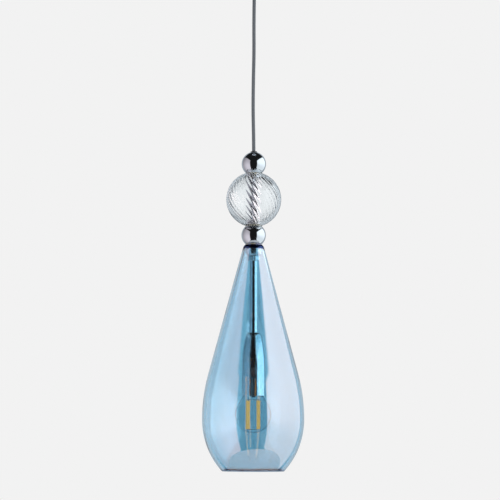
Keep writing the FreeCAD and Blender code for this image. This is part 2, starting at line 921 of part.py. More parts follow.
def bulb_inside():
    """Four upright filaments around a glass stem, their wires, and the driver in the cap."""
    turned(
        "bulb_stem",
        [
            ("0", "stem_foot"),
            ("stem_radius", "stem_foot"),
            ("stem_radius", "stem_waist"),
            ("stem_flare_radius", "stem_flare"),
            ("stem_top_radius", "stem_top"),
            ("0", "stem_top"),
        ],
    )
    filaments, wires = [], []
    filament_top = "filament_foot + filament_length"
    for quarter in range(4):
        angle = f"(filament_turn + 90 * {quarter})"
        where = {"x": f"filament_circle * cos{angle}", "y": f"filament_circle * sin{angle}"}
        rod = solid("Cylinder", Radius="filament_radius", Height="filament_length")
        filaments.append(place(rod, **where, z="filament_foot - rim_drop"))
        post = solid("Cylinder", Radius="wire_radius", Height="wire_drop")
        place(post, **where, z=f"{filament_top} - rim_drop")
        spoke = solid("Cylinder", Radius="wire_radius", Height="filament_circle - stem_radius")
        turn = FreeCAD.Rotation(Z_AXIS, size(angle))
        spoke.Placement.Rotation = turn * FreeCAD.Rotation(Y_AXIS, 90)
        place(spoke, x=f"stem_radius * cos{angle}", y=f"stem_radius * sin{angle}",
              z=f"{filament_top} + wire_drop - rim_drop")
        wires.append(combined("Fuse", spoke, post))
    to_next = 135  # a quarter round the circle lies this far from straight outward
    for quarter in (0, 2):
        angle = f"(filament_turn + 90 * {quarter})"
        bridge = solid("Cylinder", Radius="wire_radius", Height="filament_circle * sqrt(2)")
        turn = FreeCAD.Rotation(Z_AXIS, size(angle) + to_next)
        bridge.Placement.Rotation = turn * FreeCAD.Rotation(Y_AXIS, 90)
        wires.append(place(bridge, x=f"filament_circle * cos{angle}",
                           y=f"filament_circle * sin{angle}",
                           z="filament_foot - wire_radius - rim_drop"))
    group("bulb_filaments", filaments)
    group("filament_wires", wires)
    board = solid("Box", Length="board_width", Width="board_thick", Height="board_height")
    place(board, x="-board_width / 2", y="-board_thick / 2", z="board_foot - rim_drop")
    piece(board, "driver_board")


# ---------------------------------------------------------------- making and writing

bracket()
rose()
rose_screws()
cord_grip()
terminal_block()
cords()
ball_stack()
cord_clamp()
glass_orb()
shade()
shade_gasket()
neck_clamp()
holder_cover()
lampholder()
bulb_envelope()
bulb_inside()
doc.recompute()

for item in doc.Objects:
    if {"Invalid", "Error"} & set(item.State):
        raise RuntimeError(f"{item.Label} ({item.Name}) failed: {item.State}")
os.makedirs("parts", exist_ok=True)
for item in pieces:
    if item.Shape.isNull() or not item.Shape.isValid() or not item.Shape.Solids:
        raise RuntimeError(f"{item.Label} has no valid solid")
for item in pieces:
    item.Shape.exportStep(f"parts/{item.Label}.step")
    print(f"{item.Label}: {len(item.Shape.Solids)} solid, {item.Shape.Volume:.1f} mm3")
print(f"{len(pieces)} pieces written")
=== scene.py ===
import math

import bmesh
import bpy
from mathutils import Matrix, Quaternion, Vector, noise


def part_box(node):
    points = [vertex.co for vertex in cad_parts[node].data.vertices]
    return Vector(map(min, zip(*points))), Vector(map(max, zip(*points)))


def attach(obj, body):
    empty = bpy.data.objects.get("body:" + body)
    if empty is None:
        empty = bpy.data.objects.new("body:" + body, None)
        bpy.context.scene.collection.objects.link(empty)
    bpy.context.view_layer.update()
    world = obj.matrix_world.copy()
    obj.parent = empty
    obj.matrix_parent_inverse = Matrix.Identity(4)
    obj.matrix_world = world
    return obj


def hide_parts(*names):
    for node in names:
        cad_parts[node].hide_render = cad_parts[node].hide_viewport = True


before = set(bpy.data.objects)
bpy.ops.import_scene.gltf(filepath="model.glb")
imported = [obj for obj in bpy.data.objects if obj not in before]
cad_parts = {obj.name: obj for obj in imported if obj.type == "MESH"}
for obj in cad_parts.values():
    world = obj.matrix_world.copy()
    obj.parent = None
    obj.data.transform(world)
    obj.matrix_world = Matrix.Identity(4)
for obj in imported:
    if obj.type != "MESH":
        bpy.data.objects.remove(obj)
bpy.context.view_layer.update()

# A glass pendant lamp around its CAD frame: a textile cord, two chrome balls with a ribbed
# glass ball between them, and a blue lustre glass drop over a filament bulb.
#
# Outlines are in millimetres: radius and height above a base, which is the ceiling for the
# rose and the shade's rim for the lamp. Everything else is in metres, as the frame is.

MM = 0.001
TURN = 2 * math.pi
CEILING = 0.0
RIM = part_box("glass_shade")[0].z


def extent(node, base=RIM):
    """Radius, foot and top of a CAD node in millimetres, the heights from base."""
    low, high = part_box(node)
    return high.x / MM, (low.z - base) / MM, (high.z - base) / MM


# ---------------------------------------------------------------- camera

EYE_DISTANCE = 2.8
EYE_HEIGHT = RIM + 0.038
AIM_HEIGHT = RIM + 0.2754
AIM_ASIDE = -0.0045
VIEW_WIDTH = 0.625
LAMP_LEAN = math.radians(0.17)


def camera():
    """A long lens at the height of the bulb, turned a little so that the lamp leans right."""
    data = bpy.data.cameras.new("camera")
    eye = Vector((AIM_ASIDE, -EYE_DISTANCE, EYE_HEIGHT))
    sight = Vector((AIM_ASIDE, 0, AIM_HEIGHT)) - eye
    data.lens = data.sensor_width * sight.length / VIEW_WIDTH
    made = bpy.data.objects.new("camera", data)
    bpy.context.scene.collection.objects.link(made)
    made.location = eye
    made.rotation_mode = "QUATERNION"
    made.rotation_quaternion = sight.to_track_quat("-Z", "Y") @ Quaternion((0, 0, 1), LAMP_LEAN)
    bpy.context.scene.camera = made


camera()


# ---------------------------------------------------------------- mesh tools

ON_AXIS = 1e-6  # millimetres: an outline's point this near the axis is a single vertex
EDGE_SHARE = 0.4  # the most of an edge that rounding one of its ends takes up


def arc(centre_r, centre_z, radius, start, end, steps=24):
    """Points of an outline's arc from start to end, in degrees from straight outward."""
    angles = [math.radians(start + (end - start) * i / steps) for i in range(steps + 1)]
    return [(centre_r + radius * math.cos(a), centre_z + radius * math.sin(a)) for a in angles]


def bulge(start, end, radius, steps=8):
    """The short arc of an outline from start to end, its centre to the left of the way there."""
    start, end = Vector(start), Vector(end)
    chord = end - start
    left = Vector((-chord.y, chord.x)).normalized()
    centre = (start + end) / 2 + left * math.sqrt(radius ** 2 - chord.length_squared / 4)
    first = (start - centre).angle_signed(Vector((1, 0)))
    sweep = 2 * math.asin(chord.length / 2 / radius)
    angles = [first + sweep * i / steps for i in range(steps + 1)]
    return [(centre.x + radius * math.cos(a), centre.y + radius * math.sin(a)) for a in angles]


def bent(start, hinge, end, steps):
    """Points of the curve from start to end that sets out for hinge and comes from there."""
    shares = [k / steps for k in range(steps + 1)]
    return [tuple(start * (1 - t) ** 2 + hinge * 2 * t * (1 - t) + end * t ** 2) for t in shares]


def eased(outline, radius, sharp=25, steps=3):
    """A closed outline with each corner that turns by more than sharp degrees rounded."""
    points = []
    for i, point in enumerate(outline):
        here = Vector(point)
        back = Vector(outline[i - 1]) - here
        ahead = Vector(outline[(i + 1) % len(outline)]) - here
        turn = math.pi - back.angle(ahead, math.pi)
        if turn < math.radians(sharp) or here.x < ON_AXIS:
            points.append(tuple(here))
            continue
        longest = EDGE_SHARE * min(back.length, ahead.length)
        reach = min(radius * math.tan(turn / 2), longest)
        start, end = here + back.normalized() * reach, here + ahead.normalized() * reach
        points += bent(start, here, end, steps)
    return points


def split(outline, step):
    """A closed outline whose edges are cut so that none is longer than step."""
    points = []
    for i, (r, z) in enumerate(outline):
        next_r, next_z = outline[(i + 1) % len(outline)]
        pieces = max(math.ceil(math.hypot(next_r - r, next_z - z) / step), 1)
        for k in range(pieces):
            t = k / pieces
            points.append((r + (next_r - r) * t, z + (next_z - z) * t))
    return points


def pipe(bore, cad):
    """The outline of a plain tube as wide and tall as a CAD node."""
    radius, foot, top = extent(cad)
    return [(bore, foot), (radius, foot), (radius, top), (bore, top)]


def added(name, build, sharp=35):
    """An object from a finished bmesh, smooth except along edges sharper than sharp."""
    bmesh.ops.recalc_face_normals(build, faces=build.faces)
    mesh = bpy.data.meshes.new(name)
    build.to_mesh(mesh)
    build.free()
    mesh.shade_smooth()
    mesh.set_sharp_from_angle(angle=math.radians(sharp))
    made = bpy.data.objects.new(name, mesh)
    bpy.context.scene.collection.objects.link(made)
    return made


def lathe(name, outline, base=RIM, around=96, warp=None):
    """A closed outline turned about the lamp's axis. warp moves (angle, r, z) of each point."""
    build = bmesh.new()
    rings = []
    for r, z in outline:
        if r < ON_AXIS:
            rings.append([build.verts.new((0, 0, base + z * MM))])
            continue
        ring = []
        for k in range(around):
            angle, at_r, at_z = TURN * k / around, r, z
            if warp:
                angle, at_r, at_z = warp(angle, r, z)
            x, y = at_r * math.cos(angle), at_r * math.sin(angle)
            ring.append(build.verts.new((x * MM, y * MM, base + at_z * MM)))
        rings.append(ring)
    for i, ring in enumerate(rings):
        above = rings[(i + 1) % len(rings)]
        if len(ring) == len(above) == 1:
            continue
        for k in range(around):
            corners = (ring[k % len(ring)], ring[(k + 1) % len(ring)],
                       above[(k + 1) % len(above)], above[k % len(above)])
            build.faces.new(dict.fromkeys(corners))
    return added(name, build)


# ---------------------------------------------------------------- node tools


def node(tree, kind, inputs=None, **settings):
    """A node with its settings, its input values, and links where an input is a socket."""
    made = tree.nodes.new("ShaderNode" + kind)
    for name, value in settings.items():
        setattr(made, name, value)
    for key, value in (inputs or {}).items():
        if isinstance(value, Term):
            value = value.socket
        if isinstance(value, bpy.types.NodeSocket):
            tree.links.new(value, made.inputs[key])
        else:
            made.inputs[key].default_value = value
    return made


class Term:
    """A number socket that sums and products can be written with."""

    def __init__(self, tree, socket):
        self.tree, self.socket = tree, socket

    def joined(self, operation, *others):
        inputs = dict(enumerate((self, *others)))
        return Term(self.tree, node(self.tree, "Math", inputs, operation=operation).outputs[0])

    def __add__(self, other):
        return self.joined("ADD", other)

    def __mul__(self, other):
        return self.joined("MULTIPLY", other)

    def __truediv__(self, other):
        return self.joined("DIVIDE", other)

    def size(self):
        return self.joined("ABSOLUTE")

    def fade(self, start, end, low=0.0, high=1.0):
        """Goes smoothly from low to high as this number goes from start to end."""
        inputs = {"Value": self, "From Min": start, "From Max": end, "To Min": low, "To Max": high}
        if start > end:
            inputs.update({"From Min": end, "From Max": start, "To Min": high, "To Max": low})
        mapped = node(self.tree, "MapRange", inputs, interpolation_type="SMOOTHSTEP")
        return Term(self.tree, mapped.outputs["Result"])


def blended(tree, share, first, second):
    """A colour socket that goes from first to second, sockets 6 and 7 of a colour Mix node."""
    return node(tree, "Mix", {0: share, 6: first, 7: second}, data_type="RGBA").outputs[2]


# ---------------------------------------------------------------- studio

# A direction is told by two slopes: ahead, towards the camera for each step aside, and rise.
# Each pair or set of four below is what a fade goes between and, where given, its two levels.

PAPER = 0.888  # how bright the paper behind the lamp looks
PAPER_BEHIND = (0.55, 0.75)
PAPER_OVERHEAD = (0.75, 0.55)
THROUGH_CONTRAST = 0.15  # how much the rest of the paper is dimmer when seen through glass
MIRRORED_PAPER = 0.6  # the paper's share in reflections, and what glass adds to those within it
WITHIN_PAPER = 0.4
BACK_TINT = (0.79, 0.87, 0.94, 1)

PANEL_BACK = 0.9
PANEL_TOP = 0.85
PANEL_FOOT = 1.6
SOFT_EDGE = 0.10
GAP_GLOW = 0.012
FRONT_GAP_LEFT = 1.30
LEFT_PANEL = 0.77
LEFT_TINT = (0.96, 0.88, 0.94, 1)
LEFT_RISE = (-0.4, 0.6, 1.12, 0.75)
LEFT_AHEAD = (-0.8, 0.5, 0.5, 1.0)
LEFT_INSIDE = 0.1
FRONT_GAP_RIGHT = 1.60
RIGHT_PANEL = 1.45
RIGHT_TINT = (0.90, 0.97, 1.0, 1)
RIGHT_RISE = (-0.5, 0.25, 0.7, 1.0)
RIGHT_AHEAD = (1.6, 0.4, 0.85, 1.0)

# The band of the right panel that is brighter and warmer for what stands inside the shade.
INNER_PANEL = 3.2
INNER_TINT = (1.0, 0.83, 0.79, 1)
INNER_GAP = 1.2
INNER_HEIGHT = 0.3

MIDDLE = 0.01  # half the width over which left turns into right
LEAST_ASIDE = 0.002  # keeps the slopes finite straight ahead
WITHIN_GLASS = (0.5, 1.5)  # glass faces crossed: one for within a wall, three for inside a shade
INSIDE_SHADE = (2.5, 3.5)
BOUNCED = (0.4, 0.6)
WHITE = (1, 1, 1, 1)


def studio():
    """Pale paper all round. Reflections also find two tall soft panels, left and right of the
    lamp, and the unlit gap between them that the photographer stands in."""
    scene = bpy.context.scene
    scene.view_settings.view_transform = "Standard"
    scene.world = bpy.data.worlds.new("studio")
    scene.world.use_nodes = True
    tree = scene.world.node_tree
    tree.nodes.clear()

    def glow(colour, strength):
        lit = node(tree, "Background", {"Color": colour, "Strength": strength})
        return lit.outputs[0]

    def both(first, second):
        return node(tree, "AddShader", {0: first, 1: second}).outputs[0]

    def either(share, first, second):
        return node(tree, "MixShader", {0: share, 1: first, 2: second}).outputs[0]

    def under(slope, limit):
        return slope.fade(limit + SOFT_EDGE, limit - SOFT_EDGE)

    def over(slope, limit):
        return slope.fade(limit - SOFT_EDGE, limit + SOFT_EDGE)

    direction = node(tree, "TexCoord").outputs["Generated"]
    parts = node(tree, "SeparateXYZ", {0: direction})
    x, y, z = (Term(tree, parts.outputs[i]) for i in range(3))
    aside = x.size() + LEAST_ASIDE
    ahead = y / aside * -1
    rise = z / aside
    right = x.fade(-MIDDLE, MIDDLE)
    left = right.fade(1, 0)
    path = node(tree, "LightPath")
    crossed = Term(tree, path.outputs["Transmission Depth"])
    inside = crossed.fade(*INSIDE_SHADE)
    bounced = Term(tree, path.outputs["Glossy Depth"]).fade(*BOUNCED)

    back = over(ahead, -PANEL_BACK)
    panel = under(rise, PANEL_TOP) * over(rise, -PANEL_FOOT) * back
    left_glow = panel * left * under(ahead, FRONT_GAP_LEFT) * rise.fade(*LEFT_RISE) * LEFT_PANEL
    left_glow = left_glow * ahead.fade(*LEFT_AHEAD) * (inside * LEFT_INSIDE + 1)
    right_glow = panel * right * under(ahead, FRONT_GAP_RIGHT) * rise.fade(*RIGHT_RISE) * RIGHT_PANEL
    right_glow = right_glow * ahead.fade(*RIGHT_AHEAD)
    level = under(rise.size(), INNER_HEIGHT)
    inner_glow = right * back * level * under(ahead, INNER_GAP) * inside * INNER_PANEL
    right_glow = right_glow * (level * inside * -1 + 1)
    panels = both(glow(LEFT_TINT, left_glow), glow(RIGHT_TINT, right_glow))
    panels = both(panels, glow(INNER_TINT, inner_glow))

    paper = y.fade(*PAPER_BEHIND) * z.fade(*PAPER_OVERHEAD)
    within = crossed.fade(*WITHIN_GLASS)
    mirrored = paper * (within * WITHIN_PAPER + 1) * (MIRRORED_PAPER * PAPER)
    sheen = both(glow(WHITE, GAP_GLOW), glow(BACK_TINT, mirrored))
    through = glow(WHITE, (paper * THROUGH_CONTRAST + (1 - THROUGH_CONTRAST)) * PAPER)
    seen = either(bounced, through, both(panels, sheen))
    output = node(tree, "OutputWorld")
    surface = either(path.outputs["Is Camera Ray"], seen, glow(WHITE, PAPER))
    tree.links.new(surface, output.inputs["Surface"])


FLOOR_DROP = 0.75
FLOOR_RADIUS = 0.83
FLOOR_THICK = 8
FLOOR_ASIDE = 0.07


def floor():
    """A disc of pale matt board well under the lamp, which only glass and chrome see."""
    edge = FLOOR_RADIUS / MM
    outline = [(0, -FLOOR_THICK), (edge, -FLOOR_THICK), (edge, 0), (0, 0)]
    board = lathe("floor", outline, RIM - FLOOR_DROP, around=160)
    board.data.materials.append(matt_board())
    board.location.x += FLOOR_ASIDE
    board.visible_camera = False


LAMP_AIM = 0.25
LAMPS = {  # place from the shade's rim, width and watts
    "key": ((1.6, -0.9, 0.5), 1.4, 26),
    "fill": ((-1.7, -0.6, 0.2), 1.6, 12),
}


def soft_lamps():
    """Two large soft lamps that give matt surfaces their shape. Mirrors see the panels instead."""
    target = Vector((0, 0, RIM + LAMP_AIM))
    for name, (place, width, watts) in LAMPS.items():
        light = bpy.data.lights.new(name, "AREA")
        light.size = width
        light.energy = watts
        lamp = bpy.data.objects.new(name, light)
        bpy.context.scene.collection.objects.link(lamp)
        lamp.location = Vector(place) + Vector((0, 0, RIM))
        lamp.rotation_euler = (target - lamp.location).to_track_quat("-Z", "Y").to_euler()
        lamp.visible_camera = False
        lamp.visible_glossy = False
        lamp.visible_transmission = False


# ---------------------------------------------------------------- materials


class Finish:
    """A Principled material under construction, with object coordinates for its detail."""

    def __init__(self, title, colour, **sockets):
        self.material = bpy.data.materials.new(title)
        self.material.use_nodes = True
        self.tree = self.material.node_tree
        self.shader = self.tree.nodes["Principled BSDF"]
        self.shader.inputs["Base Color"].default_value = (*colour, 1)
        for name, value in sockets.items():
            socket = "IOR" if name == "ior" else name.replace("_", " ").title()
            self.shader.inputs[socket].default_value = value
        self.place = node(self.tree, "TexCoord").outputs["Object"]

    def grain(self, size, detail=3.0, stretch=(1, 1, 1)):
        """Noise from 0 to 1 whose lumps are about size metres across."""
        scaled = node(self.tree, "Mapping", {"Vector": self.place, "Scale": stretch})
        inputs = {"Vector": scaled.outputs[0], "Scale": 1 / size, "Detail": detail}
        return Term(self.tree, node(self.tree, "TexNoise", inputs).outputs["Fac"])

    def feed(self, socket, term):
        self.tree.links.new(term.socket, self.shader.inputs[socket])

    def tones(self, term, low, high):
        """Base colour that goes from low to high with term."""
        ramp = node(self.tree, "ValToRGB", {"Fac": term})
        ramp.color_ramp.elements[0].color = (*low, 1)
        ramp.color_ramp.elements[1].color = (*high, 1)
        self.tree.links.new(ramp.outputs[0], self.shader.inputs["Base Color"])

    def relief(self, term, depth, strength):
        """Bump of the given depth in metres."""
        made = node(self.tree, "Bump", {"Height": term, "Distance": depth, "Strength": strength})
        self.tree.links.new(made.outputs[0], self.shader.inputs["Normal"])


GRAIN_SPAN = (0.3, 0.7)  # what most of a noise lies between
SMEAR_SPAN = (0.35, 0.75)


def matt_board():
    """Pale painted board for the floor."""
    made = Finish("pale_board", (0.82, 0.86, 0.88), roughness=0.9)
    made.tones(made.grain(0.02), (0.80, 0.84, 0.86), (0.86, 0.90, 0.92))
    made.relief(made.grain(0.001), 0.0002, 0.3)
    return made.material


def chrome():
    """The balls' and the rose's plating, with faint smears from handling."""
    made = Finish("polished_chrome", (0.60, 0.62, 0.64), metallic=1.0)
    smears = made.grain(0.012, 4)
    made.feed("Roughness", smears.fade(*SMEAR_SPAN, 0.012, 0.045))
    made.tones(smears, (0.68, 0.72, 0.765), (0.74, 0.78, 0.825))
    made.relief(made.grain(0.006, 2), 0.00001, 0.3)
    return made.material


def painted_highlight_chrome():
    """A brighter, slightly warmer copy of the balls' chrome for the parts inside the shade: a
    painted highlight, so that their reflections come out whiter through the blue glass.
    """
    made = Finish("painted_highlight_chrome", (0.96, 0.92, 0.92), metallic=1.0)
    smears = made.grain(0.012, 4)
    made.feed("Roughness", smears.fade(*SMEAR_SPAN, 0.01, 0.03))
    made.tones(smears, (0.93, 0.89, 0.89), (0.98, 0.94, 0.94))
    return made.material


def worked(title, marks, patch, dark, light, polish, depth, **sockets):
    """A material with fine marks, a grain's size, detail and stretch, that roughen and emboss it
    between the two roughnesses of polish. Its colour goes from dark to light over patches."""
    made = Finish(title, dark, **sockets)
    lines = made.grain(*marks)
    made.tones(made.grain(patch) if patch else lines, dark, light)
    made.feed("Roughness", lines.fade(*GRAIN_SPAN, *polish))
    made.relief(lines, depth, 0.5)
    return made.material


def metal(title, marks, patch, dark, light, polish, depth=0.00001):
    """Metal with the marks of its making: brushed, turned or rolled."""
    return worked(title, marks, patch, dark, light, polish, depth, metallic=1.0)


def plastic(title, dark, light, roughness):
    """Moulded plastic with a fine spark-eroded texture."""
    polish = (roughness - 0.06, roughness + 0.06)
    return worked(title, (0.0006, 3), 0.006, dark, light, polish, 0.00003)


def textile():
    """Braided yarn: the weave attribute is high on the crown of each strand, and the colour follows
    it as painted shade, dark in the grooves between strands.
    """
    made = Finish("dark_braid", (0.06, 0.07, 0.08), roughness=0.85, sheen_weight=0.35,
                  sheen_roughness=0.4)
    weave = Term(made.tree, node(made.tree, "Attribute", attribute_name="weave").outputs["Fac"])
    fibre = made.grain(0.00022, 3, (1, 1, 0.35))
    # Colour from weave is painted shade, light on the crowns and dark in the grooves; the fibre
    # noise is the yarn's own uneven tone.
    made.tones(weave * 0.75 + fibre * 0.35, (0.016, 0.019, 0.023), (0.16, 0.175, 0.195))
    made.relief(fibre, 0.00008, 0.8)
    return made.material


def silicone():
    """Soft, slightly yellow seals, cloudy inside."""
    made = Finish("clear_silicone", (0.86, 0.84, 0.72), roughness=0.35, ior=1.42,
                  transmission_weight=0.35)
    haze = made.grain(0.002, 3)
    made.tones(haze, (0.90, 0.86, 0.66), (0.98, 0.96, 0.84))
    made.feed("Roughness", haze.fade(*GRAIN_SPAN, 0.28, 0.42))
    made.relief(haze, 0.00003, 0.4)
    return made.material


def clear(title, ior, dark, light, wave, depth):
    """Colourless glass with slow waves in its surface."""
    made = Finish(title, light, roughness=0.0, ior=ior, transmission_weight=1.0)
    made.relief(made.grain(wave, 2), depth, 0.4)
    made.tones(made.grain(0.01), dark, light)
    return made.material


GLASS_DEEP, GLASS_PALE = (0.56, 0.77, 0.90), (0.69, 0.88, 0.96)
LUSTRE_IOR = 3.7  # far above glass, for the mirror-like coat
LUSTRE_TINT = (0.92, 0.57, 0.47, 1)
# The navy band at the shoulder and the darker rim are painted reflection: colour and specular tint
# darkened where the glass would mirror dark surroundings.
PAINTED_DARK_LEVEL = RIM + 0.2758
PAINTED_DARK_RAGGED = 0.004
PAINTED_DARK_BLUE = (0.05, 0.09, 0.24, 1)
PAINTED_DARK_TINT = (0.10, 0.16, 0.45, 1)
PAINTED_RIM_BAND = 0.003
PAINTED_RIM_SHARE = 0.6


def blue_glass():
    """Blown blue glass under a pearly lustre, with a painted dark reflection in navy over its ragged
    shoulder and a little at its rim.
    """
    made = Finish("blue_lustre", (0.38, 0.74, 0.92), roughness=0.0, ior=LUSTRE_IOR,
                  transmission_weight=1.0)
    clouds = made.grain(0.09, 3, (1, 1, 0.5))
    made.tones(clouds, GLASS_DEEP, GLASS_PALE)
    height = Term(made.tree, node(made.tree, "SeparateXYZ", {0: made.place}).outputs[2])
    ragged = height + made.grain(0.005, 2) * PAINTED_DARK_RAGGED
    # Painted dark reflection: a ragged navy band over the shoulder near the neck, and a fainter one
    # along the rim.
    painted_dark = ragged.fade(PAINTED_DARK_LEVEL + PAINTED_DARK_RAGGED / 2, PAINTED_DARK_LEVEL + PAINTED_DARK_RAGGED)
    painted_dark = painted_dark + height.fade(RIM + PAINTED_RIM_BAND, RIM + PAINTED_RIM_BAND / 2, 0, PAINTED_RIM_SHARE)
    # The painted dark reflection darkens both the glass's tint and the lustre's specular tint.
    body = made.shader.inputs["Base Color"].links[0].from_socket
    tint_and_painted_dark = blended(made.tree, painted_dark, body, PAINTED_DARK_BLUE)
    lustre_tint_and_painted_dark = blended(made.tree, painted_dark, LUSTRE_TINT, PAINTED_DARK_TINT)
    made.tree.links.new(tint_and_painted_dark, made.shader.inputs["Base Color"])
    made.tree.links.new(lustre_tint_and_painted_dark, made.shader.inputs["Specular Tint"])
    made.relief(made.grain(0.03, 2, (1, 1, 0.4)), 0.0004, 0.25)
    return made.material


def phosphor():
    """The coating of the filaments, glowing faintly."""
    made = Finish("amber_phosphor", (0.8, 0.5, 0.12), roughness=0.5,
                  emission_color=(1, 0.45, 0.14, 1), emission_strength=1.25)
    grit = made.grain(0.0004, 3)
    made.tones(grit, (0.62, 0.36, 0.06), (0.92, 0.62, 0.2))
    made.relief(grit, 0.00005, 0.6)
    return made.material


def vitrite():
    """The black glass that insulates the tip of the bulb's cap."""
    made = Finish("black_vitrite", (0.02, 0.02, 0.023), roughness=0.15)
    made.tones(made.grain(0.002), (0.012, 0.012, 0.014), (0.04, 0.04, 0.045))
    made.feed("Roughness", made.grain(0.001).fade(*GRAIN_SPAN, 0.08, 0.2))
    return made.material


def circuit_board():
    """Green lacquered board with raised tracks, for the driver in the cap."""
    made = Finish("circuit_board", (0.05, 0.2, 0.09), roughness=0.4)
    tracks = made.grain(0.0012, 1, (1, 1, 4)).fade(0.48, 0.52)
    made.tones(tracks, (0.03, 0.16, 0.07), (0.09, 0.3, 0.13))
    made.relief(tracks, 0.00005, 0.5)
    return made.material


ALONG_X, ALONG_Z, AROUND = (0.08, 1, 1), (1, 1, 0.1), (0.05, 0.05, 1)
FINISHES = {
    "steel": metal("zinc_steel", (0.0012, 3, ALONG_X), 0.008, (0.42, 0.43, 0.45), (0.58, 0.59, 0.6),
                   (0.28, 0.45), 0.00002),
    "chrome": chrome(),
    # bright: the copy of chrome with a painted highlight, for the parts inside the shade.
    "bright": painted_highlight_chrome(),
    "satin": metal("satin_nickel", (0.0015, 3, ALONG_Z), 0.01, (0.56, 0.59, 0.63),
                   (0.64, 0.67, 0.71), (0.32, 0.48)),
    "brass": metal("turned_brass", (0.0008, 2, AROUND), 0.004, (0.62, 0.42, 0.16),
                   (0.78, 0.58, 0.26), (0.18, 0.34)),
    "cap_metal": metal("cap_metal", (0.002, 4), None, (0.5, 0.49, 0.47), (0.68, 0.67, 0.65),
                       (0.18, 0.38)),
    "cord_textile": textile(),
    "sheath_plastic": plastic("grey_sheath", (0.12, 0.125, 0.13), (0.18, 0.185, 0.19), 0.5),
    "live_plastic": plastic("brown_core", (0.16, 0.07, 0.03), (0.24, 0.11, 0.05), 0.42),
    "neutral_plastic": plastic("blue_core", (0.03, 0.09, 0.32), (0.05, 0.14, 0.42), 0.42),
    "block_plastic": plastic("block_nylon", (0.74, 0.73, 0.68), (0.84, 0.83, 0.79), 0.45),
    "holder_plastic": plastic("black_holder", (0.02, 0.02, 0.023), (0.045, 0.045, 0.05), 0.5),
    "bush_rubber": plastic("black_rubber", (0.018, 0.018, 0.02), (0.035, 0.035, 0.038), 0.6),
    "seal_rubber": silicone(),
    "clear_glass": clear("ribbed_glass", 1.38, (0.95, 0.98, 0.995), (0.97, 0.99, 1.0),
                         0.004, 0.00003),
    "bulb_clear": clear("bulb_glass", 1.1, (0.975, 0.98, 0.985), (0.985, 0.99, 0.995),
                        0.006, 0.00002),
    "blue_glass": blue_glass(),
    "vitrite": vitrite(),
    "phosphor": phosphor(),
    "board": circuit_board(),
}


def fitted(made, body, slot, *stands_for, look=None):
    """Gives a piece its body and a finish, which is its slot's own unless look names
    another, and hides the CAD nodes it stands for."""
    made.data.materials.append(FINISHES[look or slot])
    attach(made, body)
    if stands_for:
        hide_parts(*stands_for)
    return made


def repaint_frame():
    """Every CAD node that is still shown gets the finish of its own material slot."""
    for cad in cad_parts.values():
        for slot in cad.material_slots:
            slot.material = FINISHES[slot.material.name.split(".")[0]]


# ---------------------------------------------------------------- cord

CORD_ROUTE = [  # from the bend down to the clamp in the upper ball, not quite straight
    (0, 0, -0.0417),
    (-0.0005, 0.0003, -0.080),
    (-0.0001, -0.0003, -0.117),
    (-0.0009, 0.0001, -0.153),
    (-0.0012, -0.0002, -0.193),
    (-0.0002, 0.0001, -0.229),
    (0, 0, -0.265),
]
CORD_DIAMETER = 0.0044
BEND_LEVEL = -40.3
LINE_STEPS = 64
BRAID_STRANDS = 12
BRAID_PITCH = 0.0145
BRAID_RELIEF = 0.00016
BRAID_STEP = 0.00027
BRAID_AROUND = 72
STRAND_SIDE = 0.65  # how high a strand's sides are, of its middle


def smooth_line(route):
    """Points along the NURBS line that has the route's points as its control points."""
    data = bpy.data.curves.new("line", "CURVE")
    data.dimensions = "3D"
    spline = data.splines.new("NURBS")
    spline.points.add(len(route) - 1)
    for point, place in zip(spline.points, route):
        point.co = (*place, 1)
    spline.order_u = 3
    spline.use_endpoint_u = True
    spline.resolution_u = LINE_STEPS
    line = bpy.data.objects.new("line", data)
    bpy.context.scene.collection.objects.link(line)
    bpy.context.view_layer.update()
    mesh = bpy.data.meshes.new_from_object(line)
    points = [vertex.co.copy() for vertex in mesh.vertices]
    bpy.data.objects.remove(line)
    return points


def weave(angle, along):
    """Height from 0 to 1 of a braid whose strands cross over and under each other."""
    one = BRAID_STRANDS * angle / TURN + BRAID_STRANDS * along / BRAID_PITCH
    other = BRAID_STRANDS * angle / TURN - BRAID_STRANDS * along / BRAID_PITCH
    across, beside = one % 1 - 0.5, other % 1 - 0.5
    if (math.floor(one) + math.floor(other)) % 2:
        across, beside = beside, across
    crown = STRAND_SIDE + (1 - STRAND_SIDE) * math.cos(math.pi * beside)
    return math.cos(math.pi * across) * crown


def braided(name, line):
    """A closed tube along a line with the relief of a braid, and its weave attribute."""
    lengths = [0]
    for a, b in zip(line, line[1:]):
        lengths.append(lengths[-1] + (b - a).length)
    build = bmesh.new()
    layer = build.verts.layers.float.new("weave")
    count = round(lengths[-1] / BRAID_STEP)
    rings, at = [], 0
    for i in range(count + 1):
        along = lengths[-1] * i / count
        while at < len(line) - 2 and lengths[at + 1] < along:
            at += 1
        run = line[at + 1] - line[at]
        here = line[at] + run * ((along - lengths[at]) / run.length)
        ahead = run.normalized()
        side = Vector((0, 1, 0)).cross(ahead).normalized()
        front = ahead.cross(side)
        ring = []
        for k in range(BRAID_AROUND):
            angle = TURN * k / BRAID_AROUND
            height = weave(angle, along)
            radius = CORD_DIAMETER / 2 - BRAID_RELIEF * (1 - height)
            place = here + (side * math.cos(angle) + front * math.sin(angle)) * radius
            vertex = build.verts.new(place)
            vertex[layer] = height
            ring.append(vertex)
        rings.append(ring)
    for ring, above in zip(rings, rings[1:]):
        for k in range(BRAID_AROUND):
            after = (k + 1) % BRAID_AROUND
            build.faces.new((ring[k], ring[after], above[after], above[k]))
    build.faces.new(rings[0])
    build.faces.new(rings[-1])
    return added(name, build, sharp=80)


